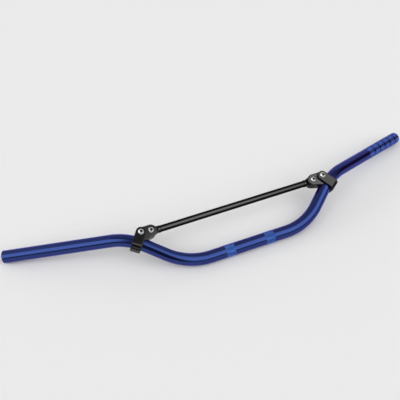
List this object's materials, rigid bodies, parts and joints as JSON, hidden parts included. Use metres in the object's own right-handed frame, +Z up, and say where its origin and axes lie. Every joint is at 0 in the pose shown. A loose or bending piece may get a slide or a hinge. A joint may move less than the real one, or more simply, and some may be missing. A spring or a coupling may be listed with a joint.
{
  "type": "motocross handlebar",
  "caption": "Bent tube handlebar for an off-road motorbike, with knurled clamp zones, swept grips and a crossbar bolted between clamps on the risers.",
  "frame": {"origin": "middle of the clamp zone, on the axis of the bar's straight centre", "axes": "+X along the clamp zone towards the rider's left grip, +Y level towards the grips, +Z up, with the bar at rest on its centre and its two grip ends"},
  "size_m": [0.818, 0.1667, 0.065],
  "materials": {
    "blue_anodised": "satin blue anodising, knurled in the clamp zone and at the end of the left grip",
    "black_crossbar": "semi-gloss black anodising",
    "black_clamp": "satin black anodising",
    "bright_steel": "bright zinc plating"
  },
  "bodies": {
    "root": {"handlebar_tube": "blue_anodised", "crossbar_rod": "black_crossbar", "crossbar_end_left": "black_crossbar", "knuckle_left": "black_clamp", "strap_left": "black_clamp", "strap_bolt_left": "bright_steel", "strap_washer_left": "bright_steel", "strap_nut_left": "bright_steel", "pivot_bolt_left": "bright_steel", "pivot_washer_left": "bright_steel", "pivot_nut_left": "bright_steel", "crossbar_end_right": "black_crossbar", "knuckle_right": "black_clamp", "strap_right": "black_clamp", "strap_bolt_right": "bright_steel", "strap_washer_right": "bright_steel", "strap_nut_right": "bright_steel", "pivot_bolt_right": "bright_steel", "pivot_washer_right": "bright_steel", "pivot_nut_right": "bright_steel"}
  },
  "joints": []
}
